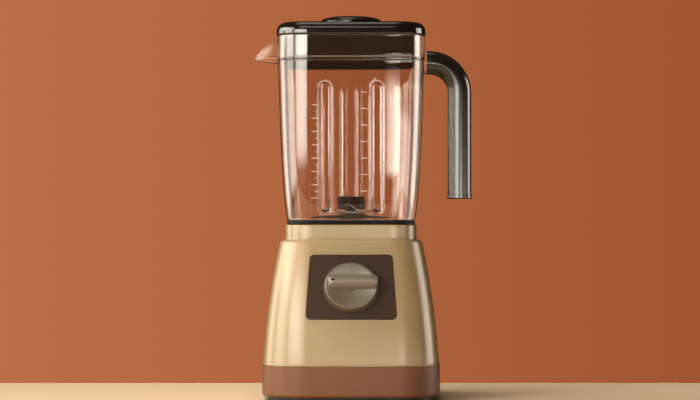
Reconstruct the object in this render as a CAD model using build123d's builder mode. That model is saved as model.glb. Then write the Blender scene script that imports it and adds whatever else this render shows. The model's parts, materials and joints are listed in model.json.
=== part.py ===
from build123d import *
import os
from math import atan, cos, degrees, sin

os.makedirs("parts", exist_ok=True)

# Countertop blender. Millimetres, +Z up, z = 0 is the worktop. The control knob faces -Y,
# the pouring spout points to -X and the handle stands out to +X.

# ---- Driving dimensions -------------------------------------------------------------
# Levels above the worktop
cover_z = 4.8
band_bottom_z = 4.5
body_foot_z = 36.6
shoulder_z = 165.0
neck_top_z = 181.2
deck_top_z = 171.2
jar_foot_z = 186.0
rim_step_z = 351.0
rim_top_z = 377.5
lid_top_z = 390.5
cap_top_z = 400.0

# Half widths and corner radii of the rounded-square outline
foot_half, foot_corner = 84.0, 38.0
band_half, band_corner = 92.0, 45.0
body_foot_half, body_foot_corner = 91.3, 44.5
body_top_half, body_top_corner = 73.3, 32.0
body_bulge = 2.4
jar_foot_half, jar_widening, jar_even_share = 66.8, 9.0, 0.55
jar_foot_corner, jar_corner_growth = 25.5, 5.5
neck_half, neck_corner = 68.0, 27.0
seat_half, seat_corner = 62.5, 24.0
rim_half, rim_corner = 76.3, 31.5
lid_half, lid_corner = 77.2, 32.0

# Walls and gaps
body_wall = 3.2
band_wall = 3.0
jar_wall = 3.2
foot_width = 10.0
ledge_thick, lip_thick, lip_reach = 2.8, 2.2, 4.0
slip = 0.05
loose = 0.35

# Control knob and panel, on the sloping front face
knob_z = 117.2
panel_low_z, panel_high_z = 84.4, 150.7
panel_low_half, panel_high_half = 47.0, 42.5
panel_sink, panel_stand = 1.8, 0.9
knob_length, knob_width = 56.8, 51.0
knob_gap, knob_disc, knob_height, knob_taper = 0.6, 10.4, 19.0, 12
grip_width, grip_low_x, grip_high_x, grip_shift = 15.5, -24.2, 27.8, 4.4
switch_radius = 3.0
bush_radius = 4.8

# Motor, on the vertical axis
shaft_radius = 4.0
run_clearance = 0.05
stack_low_z, stack_high_z = 84.0, 124.0
stator_half = 42.0
stator_bore = 23.8
armature_radius = 23.2
bolt_place, bolt_radius, bolt_hole, sleeve_radius = 35.0, 2.5, 2.6, 5.0
hanger_place = 40.0
post_place = 55.0
lower_plate_z, upper_plate_z, plate_thick = 52.0, 148.0, 4.0

# Handle
grip_radius = 12.4
handle_z = 352.0
handle_start_x, handle_bend_x = 80.4, 82.5
bend_radius = 32.0
handle_end_z, handle_wall, handle_cap = 212.0, 3.0, 3.6

# Seat sensing pin
pin_x, pin_y = 52.0, 28.0
pin_radius = 3.0

UP = (Align.CENTER, Align.CENTER, Align.MIN)


# ---- Shared shapes ------------------------------------------------------------------
def body_half(z, inset=0.0):
    """Half width of the body: a straight lean plus an outward bow, as a parabola."""
    s = (z - body_foot_z) / (shoulder_z - body_foot_z)
    return body_foot_half + (body_top_half - body_foot_half) * s + 4 * body_bulge * s * (1 - s) - inset


def body_corner(z, inset=0.0):
    """Corner radius of the body, shrinking evenly towards the shoulder."""
    s = (z - body_foot_z) / (shoulder_z - body_foot_z)
    return body_foot_corner + (body_top_corner - body_foot_corner) * s - inset


def jar_half(z, inset=0.0):
    """Half width of the jar: it widens upwards, and faster near its foot."""
    s = (z - jar_foot_z) / (rim_step_z - jar_foot_z)
    early = 1 - (1 - s) ** 4
    return jar_foot_half + jar_widening * (jar_even_share * s + (1 - jar_even_share) * early) - inset


def jar_corner(z, inset=0.0):
    """Corner radius of the jar, growing evenly with height."""
    s = (z - jar_foot_z) / (rim_step_z - jar_foot_z)
    return jar_foot_corner + jar_corner_growth * s - inset


def loft_levels(levels):
    """Solid lofted through rounded squares given as (z, half width, corner radius)."""
    with BuildPart() as solid:
        for z, half, corner in levels:
            with BuildSketch(Plane.XY.offset(z)):
                RectangleRounded(2 * half, 2 * half, corner)
        loft()
    return solid.part


def block(z_low, z_high, half, corner, mode=Mode.ADD):
    """Upright rounded-square block, joined to or cut from the part being built."""
    with BuildSketch(Plane.XY.offset(z_low)) as outline:
        RectangleRounded(2 * half, 2 * half, corner)
    extrude(outline.sketch, amount=z_high - z_low, mode=mode)


def disc(z_low, z_high, radius, x=0.0, y=0.0, mode=Mode.ADD):
    """Upright cylinder, joined to or cut from the part being built."""
    with Locations((x, y, z_low)):
        Cylinder(radius, z_high - z_low, align=UP, mode=mode)


def square_places(reach):
    return [(x, y) for x in (-reach, reach) for y in (-reach, reach)]


def cross_places(reach):
    return [(reach, 0), (-reach, 0), (0, reach), (0, -reach)]


def body_solid(inset, z_high):
    """The body's outline as a solid, drawn in by inset."""
    steps = 5
    levels = [body_foot_z + (z_high - body_foot_z) * i / steps for i in range(steps + 1)]
    return loft_levels([(z, body_half(z, inset), body_corner(z, inset)) for z in levels])


def jar_solid(inset):
    """The jar's outline up to the rim step as a solid, drawn in by inset."""
    rises = [0.0, 0.05, 0.12, 0.25, 0.45, 0.7, 1.0]
    levels = [jar_foot_z + (rim_step_z - jar_foot_z) * rise for rise in rises]
    return loft_levels([(z, jar_half(z, inset), jar_corner(z, inset)) for z in levels])


# The front face's slope at the knob, and the plane that the panel and the knob lie on
body_rise = shoulder_z - body_foot_z
knob_share = (knob_z - body_foot_z) / body_rise
face_run = body_foot_half - body_top_half - 4 * body_bulge * (1 - 2 * knob_share)
face_tilt = atan(face_run / body_rise)
face_plane = Plane(
    origin=(0, -body_half(knob_z), knob_z),
    x_dir=(1, 0, 0),
    z_dir=(0, -cos(face_tilt), sin(face_tilt)),
)
outward = Axis((0, 0, 0), face_plane.z_dir)
panel_low = (panel_low_z - knob_z) / cos(face_tilt)
panel_high = (panel_high_z - knob_z) / cos(face_tilt)
print("knob axis at y", round(-body_half(knob_z), 3), "z", knob_z, "leaning", round(degrees(face_tilt), 4))


# ---- Base: foot, band, cover and body -----------------------------------------------
with BuildPart() as foot_ring:
    block(0, cover_z, foot_half, foot_corner)
    chamfer(foot_ring.edges().group_by(Axis.Z)[0], 0.8)
    block(0, cover_z, foot_half - foot_width, foot_corner - foot_width, mode=Mode.SUBTRACT)
foot_ring.part.label = "foot_ring"
export_step(foot_ring.part, "parts/foot_ring.step")

gland_z = 20.0
gland_radius = 6.0
cord_radius = 3.5
ledge_z = cover_z + ledge_thick
lip_top_z = ledge_z + lip_thick
with BuildPart() as base_band:
    block(band_bottom_z, body_foot_z, band_half, band_corner)
    fillet(base_band.edges().group_by(Axis.Z)[0], 3.0)
    fillet(base_band.edges().group_by(Axis.Z)[-1], 0.6)
    inner_half = band_half - band_wall
    inner_corner = band_corner - band_wall
    block(band_bottom_z, ledge_z, inner_half, inner_corner, mode=Mode.SUBTRACT)
    block(ledge_z, lip_top_z, inner_half - lip_reach, inner_corner - lip_reach, mode=Mode.SUBTRACT)
    block(lip_top_z, body_foot_z, inner_half, inner_corner, mode=Mode.SUBTRACT)
    with BuildSketch(Plane.XZ.offset(-band_half - 1)):
        with Locations((0, gland_z)):
            Circle(gland_radius + slip)
    extrude(amount=band_wall + 2, mode=Mode.SUBTRACT)
base_band.part.label = "base_band"
export_step(base_band.part, "parts/base_band.step")

cover_screw_hole = 2.2
vent_count, vent_spacing, vent_length, vent_width = 9, 8.0, 30.0, 3.4
with BuildPart() as bottom_cover:
    block(cover_z, ledge_z, band_half - band_wall - 0.1, band_corner - band_wall - 0.1)
    for x, y in square_places(post_place):
        disc(cover_z, ledge_z, cover_screw_hole, x, y, mode=Mode.SUBTRACT)
    with BuildSketch(Plane.XY.offset(cover_z)):
        with GridLocations(vent_spacing, vent_length + 10, vent_count, 2):
            SlotOverall(vent_length, vent_width, rotation=90)
    extrude(amount=ledge_z - cover_z, mode=Mode.SUBTRACT)
bottom_cover.part.label = "bottom_cover"
export_step(bottom_cover.part, "parts/bottom_cover.step")

cover_screw_radius = 1.75
cover_head, cover_head_radius, cover_screw_top_z = 2.2, 4.0, 22.0
with BuildPart() as cover_screws:
    for x, y in square_places(post_place):
        disc(cover_z - cover_head, cover_z, cover_head_radius, x, y)
        disc(cover_z, cover_screw_top_z, cover_screw_radius, x, y)
    heads = cover_screws.edges().group_by(Axis.Z)[0]
    fillet(heads, 0.9)
    with BuildSketch(Plane.XY.offset(cover_z - cover_head)):
        with GridLocations(2 * post_place, 2 * post_place, 2, 2):
            Rectangle(4.4, 1.0)
            Rectangle(1.0, 4.4)
    extrude(amount=1.2, mode=Mode.SUBTRACT)
cover_screws.part.label = "cover_screws"
export_step(cover_screws.part, "parts/cover_screws.step")

board_low_z, board_high_z, board_half = 84.0, 132.0, 34.0
board_y, board_thick = 58.0, 1.6
cage_low_z = 131.0
hanger_low_z = 158.0
shoulder_round, neck_flare = 2.8, 2.3
deck_thick, shaft_opening = 3.0, 21.0
post_radius, hanger_radius = 5.0, 7.0
mount_screw_radius = 2.0
with BuildPart() as body_shell:
    add(body_solid(0, shoulder_z))
    fillet(body_shell.edges().group_by(Axis.Z)[-1], shoulder_round)
    block(shoulder_z - 1, neck_top_z, neck_half, neck_corner)
    neck_edges = body_shell.edges(Select.LAST)
    neck_foot = neck_edges.filter_by_position(Axis.Z, shoulder_z - 0.01, shoulder_z + 0.01)
    fillet(neck_foot, neck_flare)
    fillet(body_shell.edges().group_by(Axis.Z)[-1], 1.2)
    with BuildPart(mode=Mode.PRIVATE) as bead:
        block(body_foot_z, body_foot_z + 2.4, band_half, band_corner)
        fillet(bead.edges().group_by(Axis.Z)[-1], 1.4)
        fillet(bead.edges().group_by(Axis.Z)[0], 0.5)
    add(bead.part)
    add(body_solid(body_wall, shoulder_z - body_wall), mode=Mode.SUBTRACT)
    block(shoulder_z - body_wall - 0.1, deck_top_z - deck_thick, seat_half, seat_corner, mode=Mode.SUBTRACT)
    block(deck_top_z, neck_top_z + 1, seat_half, seat_corner, mode=Mode.SUBTRACT)
    disc(deck_top_z - deck_thick - 1, deck_top_z + 1, shaft_opening, mode=Mode.SUBTRACT)
    # Long corner posts for the cover screws, and short hangers for the motor
    for x, y in square_places(post_place):
        disc(ledge_z, deck_top_z - deck_thick, post_radius, x, y)
        disc(ledge_z, ledge_z + 20, cover_screw_radius + slip, x, y, mode=Mode.SUBTRACT)
    for x, y in cross_places(hanger_place):
        disc(hanger_low_z, deck_top_z - deck_thick, hanger_radius, x, y)
        disc(hanger_low_z, hanger_low_z + 8, mount_screw_radius + slip, x, y, mode=Mode.SUBTRACT)
    # Two ribs under the deck hold the seat switch
    for rib_y in (pin_y - 10.5, pin_y + 10.5):
        with Locations((pin_x, rib_y, cage_low_z)):
            Box(14, 2, deck_top_z - 2.9 - cage_low_z, align=UP)
    disc(deck_top_z - deck_thick - 1, deck_top_z + 1, pin_radius + 0.3, pin_x, pin_y, mode=Mode.SUBTRACT)
    # Posts on the rear wall for the circuit board
    for x in (-board_half + 5, board_half - 5):
        for z in (board_low_z + 6, board_high_z - 6):
            with BuildSketch(Plane.XZ.offset(-board_y - board_thick)):
                with Locations((x, z)):
                    Circle(3)
            extrude(amount=-(body_half(z) - body_wall / 2 - board_y - board_thick))
    # Pocket for the panel and hole for the switch bush
    with BuildSketch(face_plane.offset(-panel_sink)):
        Polygon((-panel_low_half, panel_low), (panel_low_half, panel_low),
                (panel_high_half, panel_high), (-panel_high_half, panel_high), align=None)
        fillet(vertices(), 5)
    extrude(amount=8, mode=Mode.SUBTRACT)
    with BuildSketch(face_plane.offset(-12)):
        Circle(bush_radius + 0.2)
    extrude(amount=20, mode=Mode.SUBTRACT)
body_shell.part.label = "body_shell"
export_step(body_shell.part, "parts/body_shell.step")

pad_thick = 1.5
with BuildPart() as jar_seat_pad:
    block(deck_top_z, deck_top_z + pad_thick, seat_half - 0.4, seat_corner - 0.4)
    disc(deck_top_z, deck_top_z + pad_thick, 26, mode=Mode.SUBTRACT)
    disc(deck_top_z, deck_top_z + pad_thick, 6.5, pin_x, pin_y, mode=Mode.SUBTRACT)
jar_seat_pad.part.label = "jar_seat_pad"
export_step(jar_seat_pad.part, "parts/jar_seat_pad.step")

gland_in_y, gland_out_y = 80.0, 96.5
with BuildPart() as cord_gland:
    with BuildSketch(Plane.XZ.offset(-gland_in_y)):
        with Locations((0, gland_z)):
            Circle(gland_radius)
    extrude(amount=-(gland_out_y - gland_in_y))
    with BuildSketch(Plane.XZ.offset(-band_half)):
        with Locations((0, gland_z)):
            Circle(gland_radius + 3)
    extrude(amount=-2.4)
    with BuildSketch(Plane.XZ.offset(-(band_half - band_wall))):
        with Locations((0, gland_z)):
            RegularPolygon(gland_radius + 3.4, 6)
    extrude(amount=4)
    fillet(cord_gland.edges().group_by(Axis.Y)[-1], 1.0)
    with BuildSketch(Plane.XZ.offset(-gland_in_y)):
        with Locations((0, gland_z)):
            Circle(cord_radius)
    extrude(amount=-(gland_out_y - gland_in_y), mode=Mode.SUBTRACT)
cord_gland.part.label = "cord_gland"
export_step(cord_gland.part, "parts/cord_gland.step")


# ---- Control panel, knob and switch -------------------------------------------------
with BuildPart() as control_panel:
    with BuildSketch(face_plane.offset(-panel_sink)):
        Polygon((-panel_low_half, panel_low), (panel_low_half, panel_low),
                (panel_high_half, panel_high), (-panel_high_half, panel_high), align=None)
        fillet(vertices(), 5)
        offset(amount=-0.15, mode=Mode.REPLACE)
    extrude(amount=panel_sink + panel_stand)
    chamfer(control_panel.faces().sort_by(outward)[-1].edges(), 0.6)
    with BuildSketch(face_plane.offset(-panel_sink)):
        Circle(bush_radius + 0.2)
    extrude(amount=panel_sink + panel_stand, mode=Mode.SUBTRACT)
control_panel.part.label = "control_panel"
export_step(control_panel.part, "parts/control_panel.step")

knob_base = panel_stand + knob_gap
pointer_x = -18.6
nut_high = panel_stand + 2.4
with BuildPart() as knob:
    with BuildSketch(face_plane.offset(knob_base)):
        Ellipse(knob_length / 2, knob_width / 2)
    extrude(amount=knob_disc, taper=knob_taper)
    fillet(knob.faces().sort_by(outward)[-1].edges(), 0.8)
    with BuildSketch(face_plane.offset(knob_base + knob_disc - 1.0)):
        Ellipse(knob_length / 2 - 4.2, knob_width / 2 - 4.2)
    extrude(amount=2, mode=Mode.SUBTRACT)
    with BuildPart(mode=Mode.PRIVATE) as grip:
        with BuildSketch(face_plane.offset(knob_base + 4)):
            with Locations(((grip_low_x + grip_high_x) / 2, grip_shift)):
                RectangleRounded(grip_high_x - grip_low_x, grip_width, 3)
        extrude(amount=knob_height - knob_base - 4, taper=5)
        fillet(grip.faces().sort_by(outward)[-1].edges(), 2.4)
    add(grip.part)
    with BuildSketch(face_plane.offset(knob_base)):
        Circle(11)
    extrude(amount=nut_high - knob_base + 1, mode=Mode.SUBTRACT)
    with BuildSketch(face_plane.offset(knob_base)):
        Circle(switch_radius + slip)
    extrude(amount=12, mode=Mode.SUBTRACT)
    # Shallow seat for the pointer mark, at one end of the grip
    with BuildSketch(face_plane.offset(knob_height - 0.8)):
        with Locations((pointer_x, grip_shift + 1.2)):
            RectangleRounded(4.0, 1.8, 0.6)
    extrude(amount=2, mode=Mode.SUBTRACT)
knob.part.label = "knob"
export_step(knob.part, "parts/knob.step")

with BuildPart() as knob_pointer:
    with BuildSketch(face_plane.offset(knob_height - 0.8)):
        with Locations((pointer_x, grip_shift + 1.2)):
            RectangleRounded(3.9, 1.7, 0.55)
    extrude(amount=0.85)
knob_pointer.part.label = "knob_pointer"
export_step(knob_pointer.part, "parts/knob_pointer.step")

switch_top = -7.0
with BuildPart() as switch_shaft:
    with BuildSketch(face_plane.offset(switch_top - 1)):
        Circle(switch_radius)
    extrude(amount=knob_base + 11.5 - switch_top + 1)
switch_shaft.part.label = "switch_shaft"
export_step(switch_shaft.part, "parts/switch_shaft.step")

with BuildPart() as rotary_switch:
    with BuildSketch(face_plane.offset(switch_top)):
        RectangleRounded(34, 34, 3)
    extrude(amount=-18)
    with BuildSketch(face_plane.offset(switch_top)):
        Circle(bush_radius)
    extrude(amount=nut_high - switch_top)
    with BuildSketch(face_plane.offset(switch_top - 1.2)):
        Circle(switch_radius + run_clearance)
    extrude(amount=12 + nut_high - switch_top, mode=Mode.SUBTRACT)
    with BuildSketch(face_plane.offset(switch_top - 18)):
        with GridLocations(8, 8, 4, 1):
            Rectangle(4, 0.8)
    extrude(amount=-7)
rotary_switch.part.label = "rotary_switch"
export_step(rotary_switch.part, "parts/rotary_switch.step")

with BuildPart() as switch_nut:
    with BuildSketch(face_plane.offset(panel_stand)):
        RegularPolygon(8, 6)
        Circle(bush_radius + slip, mode=Mode.SUBTRACT)
    extrude(amount=1.9)
switch_nut.part.label = "switch_nut"
export_step(switch_nut.part, "parts/switch_nut.step")

with BuildPart() as circuit_board:
    with Locations((0, board_y + board_thick / 2, (board_low_z + board_high_z) / 2)):
        Box(2 * board_half, board_thick, board_high_z - board_low_z)
circuit_board.part.label = "circuit_board"
export_step(circuit_board.part, "parts/circuit_board.step")

with BuildPart() as suppressor_capacitor:
    with Locations((-12, board_y - 5.5, 108)):
        Box(20, 11, 22)
    fillet(suppressor_capacitor.edges(), 1.0)
suppressor_capacitor.part.label = "suppressor_capacitor"
export_step(suppressor_capacitor.part, "parts/suppressor_capacitor.step")


# ---- Motor --------------------------------------------------------------------------
coil_in, coil_out = stator_bore + 1.2, 33.0
coil_span = 20.0


def coil_sector(radius_in, radius_out, start, span):
    """Ring sector between two radii, from the start angle over the span, in degrees."""
    with BuildSketch(mode=Mode.PRIVATE) as sector:
        with BuildLine():
            a = CenterArc((0, 0), radius_in, start, span)
            b = CenterArc((0, 0), radius_out, start, span)
            Line(a @ 0, b @ 0)
            Line(a @ 1, b @ 1)
        make_face()
    return sector.sketch


def sector_block(radius_in, radius_out, start, span, z_low, z_high, mode=Mode.ADD):
    face = coil_sector(radius_in, radius_out, start, span)
    extrude(Plane.XY.offset(z_low) * face, amount=z_high - z_low, mode=mode)


with BuildPart() as motor_stator:
    block(stack_low_z, stack_high_z, stator_half, 10)
    disc(stack_low_z, stack_high_z, stator_bore, mode=Mode.SUBTRACT)
    for start in (20, 140, 200, 320):
        sector_block(coil_in - 0.3, coil_out + 0.3, start - 0.5, coil_span + 1,
                     stack_low_z, stack_high_z, mode=Mode.SUBTRACT)
    for x, y in square_places(bolt_place):
        disc(stack_low_z, stack_high_z, bolt_hole, x, y, mode=Mode.SUBTRACT)
motor_stator.part.label = "motor_stator"
export_step(motor_stator.part, "parts/motor_stator.step")

with BuildPart() as field_coils:
    for turn in (0, 180):
        for start in (20, 140):
            sector_block(coil_in, coil_out, turn + start, coil_span, stack_low_z - 7, stack_high_z + 7)
        for z_low, z_high in ((stack_low_z - 7, stack_low_z - 0.3), (stack_high_z + 0.3, stack_high_z + 7)):
            sector_block(coil_in, coil_out, turn + 20, 140, z_low, z_high)
field_coils.part.label = "field_coils"
export_step(field_coils.part, "parts/field_coils.step")

bearing_radius, bearing_boss = 11.0, 14.0
mount_hole = 2.2
upper_plate_top_z, lower_plate_top_z = upper_plate_z + plate_thick, lower_plate_z + plate_thick
with BuildPart() as upper_bracket:
    block(upper_plate_z, upper_plate_top_z, 45, 12)
    disc(upper_plate_z - 2, upper_plate_top_z + 2, bearing_boss)
    disc(upper_plate_z - 2, upper_plate_top_z + 2, bearing_radius + slip, mode=Mode.SUBTRACT)
    for x, y in square_places(bolt_place):
        disc(upper_plate_z, upper_plate_top_z, bolt_hole, x, y, mode=Mode.SUBTRACT)
    for x, y in cross_places(hanger_place):
        disc(upper_plate_z, upper_plate_top_z, mount_hole, x, y, mode=Mode.SUBTRACT)
    # Four curved air openings around the bearing
    for turn in range(4):
        sector_block(19, 33, 90 * turn + 24, 42, upper_plate_z, upper_plate_top_z, mode=Mode.SUBTRACT)
upper_bracket.part.label = "upper_bracket"
export_step(upper_bracket.part, "parts/upper_bracket.step")

with BuildPart() as lower_bracket:
    block(lower_plate_z, lower_plate_top_z, stator_half, 10)
    disc(lower_plate_z - 2, lower_plate_top_z + 2, bearing_boss)
    disc(lower_plate_z - 2, lower_plate_top_z + 2, bearing_radius + slip, mode=Mode.SUBTRACT)
    for x, y in square_places(bolt_place):
        disc(lower_plate_z, stack_low_z, sleeve_radius, x, y)
        disc(lower_plate_z, stack_low_z, bolt_hole, x, y, mode=Mode.SUBTRACT)
lower_bracket.part.label = "lower_bracket"
export_step(lower_bracket.part, "parts/lower_bracket.step")

with BuildPart() as bracket_spacers:
    for x, y in square_places(bolt_place):
        disc(stack_high_z, upper_plate_z, sleeve_radius, x, y)
        disc(stack_high_z, upper_plate_z, bolt_hole, x, y, mode=Mode.SUBTRACT)
bracket_spacers.part.label = "bracket_spacers"
export_step(bracket_spacers.part, "parts/bracket_spacers.step")

bolt_head, bolt_head_radius, bolt_nut = 3.5, 4.5, 3.0
with BuildPart() as motor_bolts:
    for x, y in square_places(bolt_place):
        disc(lower_plate_z - bolt_head, lower_plate_z, bolt_head_radius, x, y)
        disc(lower_plate_z - bolt_head, upper_plate_top_z + bolt_nut + 1, bolt_radius, x, y)
        with BuildSketch(Plane.XY.offset(upper_plate_top_z)):
            with Locations((x, y)):
                RegularPolygon(bolt_head_radius + 0.1, 6)
        extrude(amount=bolt_nut)
motor_bolts.part.label = "motor_bolts"
export_step(motor_bolts.part, "parts/motor_bolts.step")

with BuildPart() as motor_mounts:
    for x, y in cross_places(hanger_place):
        disc(upper_plate_top_z, hanger_low_z, hanger_radius + 1, x, y)
        disc(upper_plate_top_z, hanger_low_z, mount_hole, x, y, mode=Mode.SUBTRACT)
motor_mounts.part.label = "motor_mounts"
export_step(motor_mounts.part, "parts/motor_mounts.step")

with BuildPart() as mount_screws:
    for x, y in cross_places(hanger_place):
        disc(upper_plate_z - 2.6, upper_plate_z, 2 * mount_screw_radius, x, y)
        disc(upper_plate_z - 2.6, hanger_low_z + 7.5, mount_screw_radius, x, y)
mount_screws.part.label = "mount_screws"
export_step(mount_screws.part, "parts/mount_screws.step")

bearing_width, bearing_groove, bearing_rim = 7.0, 0.8, 2.5
for name, z_low in (("upper_bearing", upper_plate_z - 1.5), ("lower_bearing", lower_plate_z - 1.5)):
    with BuildPart() as bearing:
        z_high = z_low + bearing_width
        disc(z_low, z_high, bearing_radius)
        disc(z_low, z_high, shaft_radius + run_clearance, mode=Mode.SUBTRACT)
        disc(z_low, z_low + bearing_groove, bearing_radius - bearing_rim, mode=Mode.SUBTRACT)
        disc(z_high - bearing_groove, z_high, bearing_radius - bearing_rim, mode=Mode.SUBTRACT)
    bearing.part.label = name
    export_step(bearing.part, "parts/" + name + ".step")

commutator_radius = 11.0
commutator_low_z, commutator_high_z = 62.0, 73.0
brush_mid_z = (commutator_low_z + commutator_high_z) / 2
holder_x, brush_x, brush_side = 24.0, 19.5, 7.0
with BuildPart() as brush_holders:
    for side in (-1, 1):
        with Locations((side * holder_x, 0, lower_plate_top_z)):
            Box(20, 12, 17, align=UP)
        with Locations((side * holder_x, 0, brush_mid_z)):
            Box(22, brush_side + 0.2, brush_side + 0.2, mode=Mode.SUBTRACT)
brush_holders.part.label = "brush_holders"
export_step(brush_holders.part, "parts/brush_holders.step")

with BuildPart() as carbon_brushes:
    for side in (-1, 1):
        with Locations((side * brush_x, 0, brush_mid_z)):
            Box(16, brush_side, brush_side)
carbon_brushes.part.label = "carbon_brushes"
export_step(carbon_brushes.part, "parts/carbon_brushes.step")

shaft_top_z = 172.0
with BuildPart() as motor_shaft:
    disc(lower_plate_z - 3, shaft_top_z, shaft_radius)
    chamfer(motor_shaft.edges(), 0.5)
motor_shaft.part.label = "motor_shaft"
export_step(motor_shaft.part, "parts/motor_shaft.step")

slot_count, winding_low, winding_high = 12, 9.0, 8.0
with BuildPart() as armature:
    disc(stack_low_z, stack_high_z, armature_radius)
    with BuildSketch(Plane.XY.offset(stack_low_z)):
        with PolarLocations(armature_radius - 3.5, slot_count):
            SlotOverall(9, 4)
    extrude(amount=stack_high_z - stack_low_z, mode=Mode.SUBTRACT)
    disc(stack_low_z, stack_high_z, shaft_radius + slip, mode=Mode.SUBTRACT)
armature.part.label = "armature"
export_step(armature.part, "parts/armature.step")

with BuildPart() as armature_windings:
    for z_low, z_high in ((stack_low_z - winding_low, stack_low_z),
                          (stack_high_z, stack_high_z + winding_high)):
        disc(z_low, z_high, armature_radius - 3)
    with BuildSketch(Plane.XY.offset(stack_low_z - 1)):
        with PolarLocations(armature_radius - 4.3, slot_count):
            SlotOverall(6.6, 3.2)
    extrude(amount=stack_high_z - stack_low_z + 2)
    disc(stack_low_z - winding_low, stack_high_z + winding_high, shaft_radius + slip,
         mode=Mode.SUBTRACT)
    disc(stack_low_z, stack_high_z, armature_radius - 7.8, mode=Mode.SUBTRACT)
armature_windings.part.label = "armature_windings"
export_step(armature_windings.part, "parts/armature_windings.step")

bar_count = 24
with BuildPart() as commutator:
    disc(commutator_low_z, commutator_high_z, commutator_radius)
    with BuildSketch(Plane.XY.offset(commutator_low_z)):
        with PolarLocations(commutator_radius, bar_count):
            Rectangle(1.6, 0.5)
    extrude(amount=commutator_high_z - commutator_low_z, mode=Mode.SUBTRACT)
    disc(commutator_low_z, commutator_high_z, shaft_radius + slip, mode=Mode.SUBTRACT)
commutator.part.label = "commutator"
export_step(commutator.part, "parts/commutator.step")

fan_low_z, fan_high_z, fan_radius = 133.4, 143.0, 40.0
fan_hub_radius, fan_disc, blade_count, blade_pitch = 9.0, 1.8, 11, 14
with BuildPart() as cooling_fan:
    disc(fan_low_z, fan_high_z, fan_hub_radius)
    disc(fan_low_z, fan_low_z + fan_disc, fan_radius)
    with BuildSketch(Plane.XY.offset(fan_low_z + 1)):
        with PolarLocations((fan_radius + fan_hub_radius) / 2 - 0.8, blade_count):
            Rectangle(fan_radius - fan_hub_radius, 1.6, rotation=blade_pitch)
    extrude(amount=fan_high_z - fan_low_z - 1)
    disc(fan_low_z, fan_high_z, shaft_radius + slip, mode=Mode.SUBTRACT)
cooling_fan.part.label = "cooling_fan"
export_step(cooling_fan.part, "parts/cooling_fan.step")

dog_count, dog_span = 3, 46.0
dog_in, dog_out = 8.5, 17.5
hub_low_z, disc_low_z, drive_disc_z, drive_dog_z = 158.0, 169.0, 173.0, 179.0
hub_radius, coupling_radius = 8.0, 18.0
with BuildPart() as drive_coupling:
    disc(hub_low_z, drive_disc_z, hub_radius)
    disc(disc_low_z, drive_disc_z, coupling_radius)
    for turn in range(dog_count):
        sector_block(dog_in, dog_out, 120 * turn - dog_span / 2, dog_span, disc_low_z, drive_dog_z)
    disc(hub_low_z, shaft_top_z, shaft_radius + slip, mode=Mode.SUBTRACT)
drive_coupling.part.label = "drive_coupling"
export_step(drive_coupling.part, "parts/drive_coupling.step")


# ---- Seat sensing pin, spring and switch --------------------------------------------
switch_top_z = 146.0
pin_low_z = switch_top_z + 0.3
pin_high_z = deck_top_z + pad_thick - 0.2
collar_z = 158.0
with BuildPart() as interlock_pin:
    disc(pin_low_z, pin_high_z, pin_radius, pin_x, pin_y)
    disc(collar_z, collar_z + 2, 5, pin_x, pin_y)
    fillet(interlock_pin.edges().group_by(Axis.Z)[-1], 1.0)
interlock_pin.part.label = "interlock_pin"
export_step(interlock_pin.part, "parts/interlock_pin.step")

wire_radius, coil_radius, spring_turns = 0.5, 4.2, 5
spring_low_z, spring_high_z = switch_top_z + 0.1, collar_z - 0.1
spring_rise = spring_high_z - spring_low_z - 2 * wire_radius
with BuildPart() as interlock_spring:
    with BuildLine() as coil_line:
        Helix(
            pitch=spring_rise / spring_turns,
            height=spring_rise,
            radius=coil_radius,
            center=(pin_x, pin_y, spring_low_z + wire_radius),
        )
    with BuildSketch(Plane(origin=coil_line.line @ 0, z_dir=coil_line.line % 0)):
        Circle(wire_radius)
    sweep(path=coil_line.line, is_frenet=True)
interlock_spring.part.label = "interlock_spring"
export_step(interlock_spring.part, "parts/interlock_spring.step")

with BuildPart() as seat_switch:
    with Locations((pin_x, pin_y, switch_top_z - 14)):
        Box(12, 18.9, 14, align=UP)
    fillet(seat_switch.edges().filter_by(Axis.Z), 1.0)
    with Locations((pin_x, pin_y, switch_top_z - 14)):
        with GridLocations(6, 6, 1, 3):
            Box(4, 0.8, 6, align=(Align.CENTER, Align.CENTER, Align.MAX))
seat_switch.part.label = "seat_switch"
export_step(seat_switch.part, "parts/seat_switch.step")


# ---- Jar ----------------------------------------------------------------------------
# The spout is a blunt beak: level floor, upright sides, and a top edge falling to the tip
spout_tip_x, spout_root_x = -101.3, -71.0
spout_top_z, spout_under_z = 374.2, 350.6
spout_floor_z, spout_lip_z = 356.2, 353.9
spout_half, spout_corner, spout_wall = 11.0, 4.0, 2.5
window_half, window_high = 8.5, 15.5


def spout_plan(inset):
    """Plan of the beak: a straight channel with a blunt rounded tip, drawn in by inset."""
    half = spout_half - inset
    length = spout_root_x - spout_tip_x - inset
    with BuildSketch(mode=Mode.PRIVATE) as plan:
        with Locations((spout_root_x - length / 2, 0)):
            Rectangle(length, 2 * half)
        fillet(plan.vertices().group_by(Axis.X)[0], spout_corner - inset)
    return plan.sketch


with BuildPart() as beak:
    with BuildSketch(Plane.XZ.offset(-30)):
        with BuildLine():
            top = ThreePointArc(
                (spout_root_x, spout_top_z),
                (-91.3, 368.3),
                (spout_tip_x, spout_floor_z),
            )
            Polyline(top @ 1, (spout_tip_x, spout_lip_z), (spout_root_x, spout_under_z), top @ 0)
        make_face()
    extrude(amount=60)
    extrude(Plane.XY.offset(340) * spout_plan(0), amount=50, mode=Mode.INTERSECT)

boss_root_x = 74.0
stub_radius, stub_end_x = 8.0, 89.5
handle_pin_x, handle_pin_radius = 85.4, 2.0
flute_x, flute_width = 26.6, 13.5
rib_x, rib_width = 8.2, 4.8
flute_low_z, flute_high_z = 193.0, 329.0
flute_depth, flute_swell, flute_wall = 2.4, 2.0, 1.6


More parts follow.
